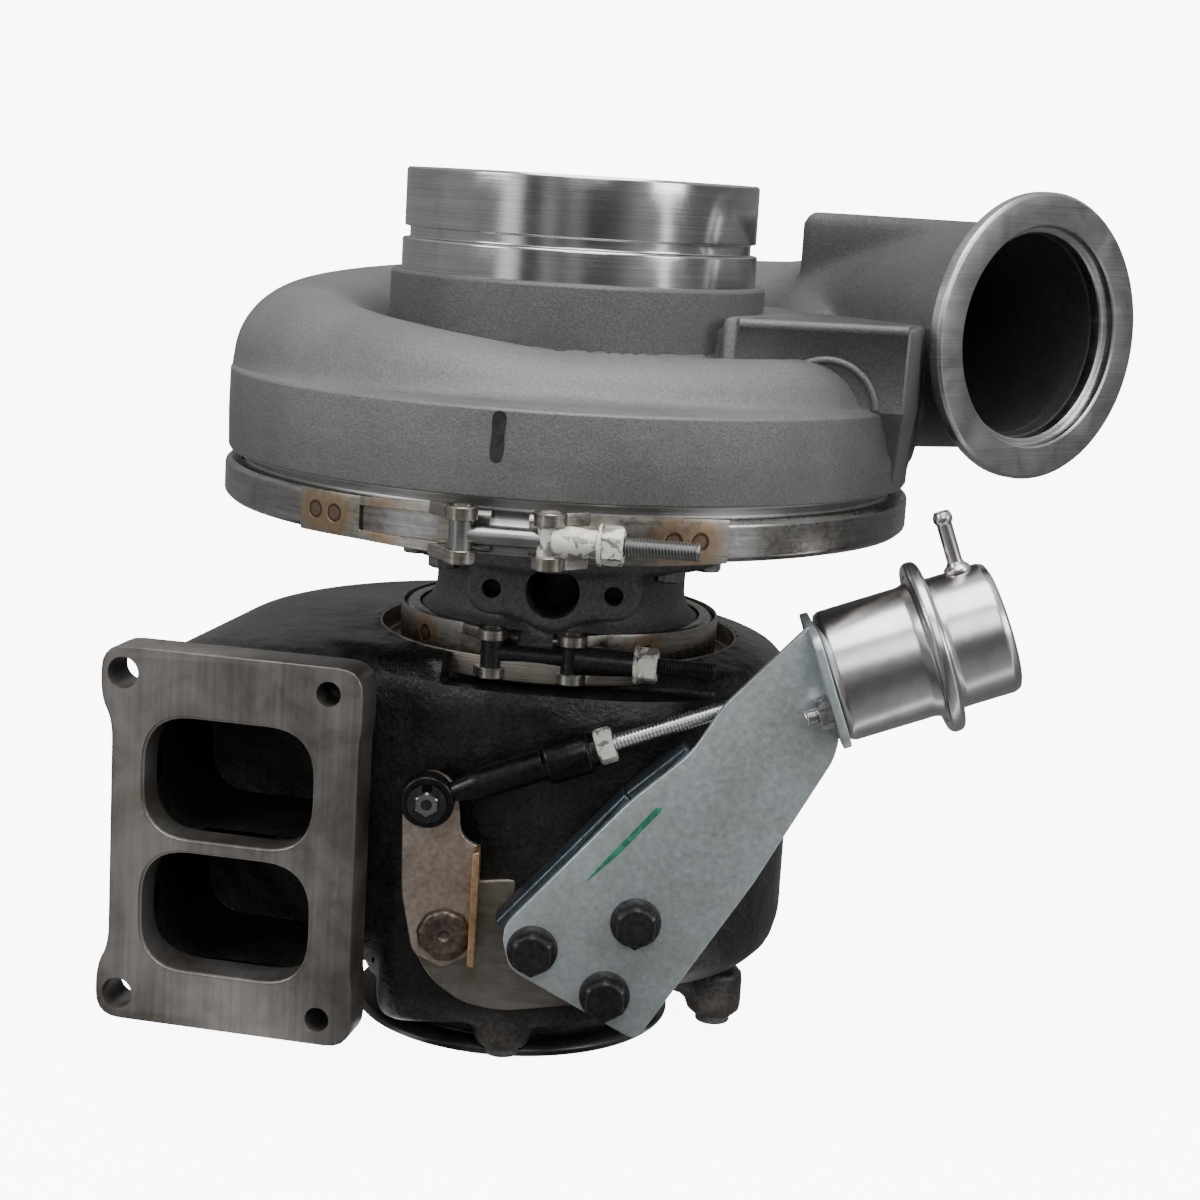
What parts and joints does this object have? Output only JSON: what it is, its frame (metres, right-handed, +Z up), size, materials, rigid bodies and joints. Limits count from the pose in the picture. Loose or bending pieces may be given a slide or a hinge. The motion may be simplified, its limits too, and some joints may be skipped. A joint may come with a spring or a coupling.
{
  "type": "turbocharger",
  "caption": "Twin-entry exhaust turbocharger with cast compressor scroll, oil-fed centre section, V-band clamps and a wastegate driven by a spring actuator.",
  "frame": {"origin": "on the rotor's axis, in the plane of the turbine outlet", "axes": "+Z up the rotor's axis to the compressor inlet, -Y out of the turbine inlet flange, +X towards the actuator and compressor outlet"},
  "size_m": [0.3351, 0.2847, 0.3165],
  "materials": {
    "cast_aluminium": "sand-cast, matte, machined at the inlet and outlet",
    "machined_aluminium": "turned",
    "wheel_aluminium": "satin",
    "seal_rubber": "matte",
    "plain_steel": "turned, oiled",
    "bright_steel": "bright zinc",
    "marked_nut": "steel with dabs of white paint",
    "turbine_alloy": "heat-resistant alloy",
    "core_iron": "cast, dark grey",
    "turbine_iron": "rough cast, near black, machined flange",
    "dark_ring": "dark with a bright edge",
    "bearing_bronze": "turned",
    "stainless_sheet": "rolled stainless",
    "stainless_strap": "rolled stainless with brown spot-weld tints",
    "black_steel": "black oxide",
    "heat_tinted_steel": "brown heat tint",
    "bright_can": "bright plated sheet",
    "zinc_plate": "blue zinc plating"
  },
  "bodies": {
    "housing": {"actuator_body": "bright_can", "actuator_bracket": "zinc_plate", "actuator_cap": "bright_can", "actuator_diaphragm": "seal_rubber", "actuator_spring": "plain_steel", "actuator_studs": "bright_steel", "backplate_bolts": "plain_steel", "bearing_housing": "core_iron", "bearing_snap_rings": "plain_steel", "bracket_bolts": "black_steel", "compressor_backplate": "machined_aluminium", "compressor_clamp_nut": "marked_nut", "compressor_clamp_retainer": "stainless_sheet", "compressor_clamp_strap": "stainless_strap", "compressor_clamp_t_bolt": "plain_steel", "compressor_clamp_trunnion": "bright_steel", "compressor_housing": "cast_aluminium", "compressor_piston_ring": "plain_steel", "cover_o_ring": "seal_rubber", "crimp_ring": "bright_can", "heat_shield": "stainless_sheet", "hose_nipple": "bright_can", "lug_studs": "core_iron", "oil_deflector": "plain_steel", "oil_seal_plate": "machined_aluminium", "outlet_ring": "dark_ring", "seal_plate_snap_ring": "plain_steel", "spindle_bush": "black_steel", "stud_nuts": "bright_steel", "thrust_bearing": "bearing_bronze", "turbine_clamp_nut": "marked_nut", "turbine_clamp_retainer": "stainless_sheet", "turbine_clamp_strap": "stainless_strap", "turbine_clamp_t_bolt": "black_steel", "turbine_clamp_trunnion": "black_steel", "turbine_housing": "turbine_iron", "turbine_piston_ring": "plain_steel"},
    "rotor": {"shaft_and_turbine_wheel": "turbine_alloy", "compressor_wheel": "wheel_aluminium", "rotor_nut": "plain_steel", "thrust_washer": "plain_steel", "oil_slinger": "plain_steel"},
    "turbine_end_bearing": {"journal_bearing_turbine_end": "bearing_bronze"},
    "compressor_end_bearing": {"journal_bearing_compressor_end": "bearing_bronze"},
    "wastegate": {"wastegate_arm": "turbine_alloy", "wastegate_valve": "turbine_alloy", "wastegate_lever": "heat_tinted_steel", "lever_weld": "heat_tinted_steel", "lever_pin": "black_steel", "pin_clip": "black_steel"},
    "actuator_rod_set": {"rod_end": "black_steel", "jam_nut": "marked_nut", "actuator_rod": "bright_steel", "actuator_piston": "plain_steel", "piston_nut": "plain_steel"}
  },
  "joints": [
    {"name": "rotor_spin", "type": "hinge", "parent": "housing", "child": "rotor", "pos_m": [0, 0, 0.17], "axis": [0, 0, -1], "continuous": true},
    {"name": "turbine_bearing_spin", "type": "hinge", "parent": "housing", "child": "turbine_end_bearing", "pos_m": [0, 0, 0.1605], "axis": [0, 0, -1], "continuous": true},
    {"name": "compressor_bearing_spin", "type": "hinge", "parent": "housing", "child": "compressor_end_bearing", "pos_m": [0, 0, 0.174], "axis": [0, 0, -1], "continuous": true},
    {"name": "wastegate_swing", "type": "hinge", "parent": "housing", "child": "wastegate", "pos_m": [-0.01695, -0.08232, 0.052], "axis": [0.2079, -0.9781, 0], "range_deg": [0, 12], "stiffness_Nm_per_rad": 2, "springref_deg": -34.38, "deforming": ["actuator_spring", "actuator_diaphragm"]},
    {"name": "rod_pivot", "type": "hinge", "parent": "wastegate", "child": "actuator_rod_set", "pos_m": [-0.02202, -0.09362, 0.1019], "axis": [0.2079, -0.9781, 0], "range_deg": [-12, 0]}
  ],
  "couplings": [
    {"joint": "turbine_bearing_spin", "follows": "rotor_spin", "ratio": 0.25},
    {"joint": "compressor_bearing_spin", "follows": "rotor_spin", "ratio": 0.25},
    {"joint": "rod_pivot", "follows": "wastegate_swing", "ratio": -1}
  ]
}
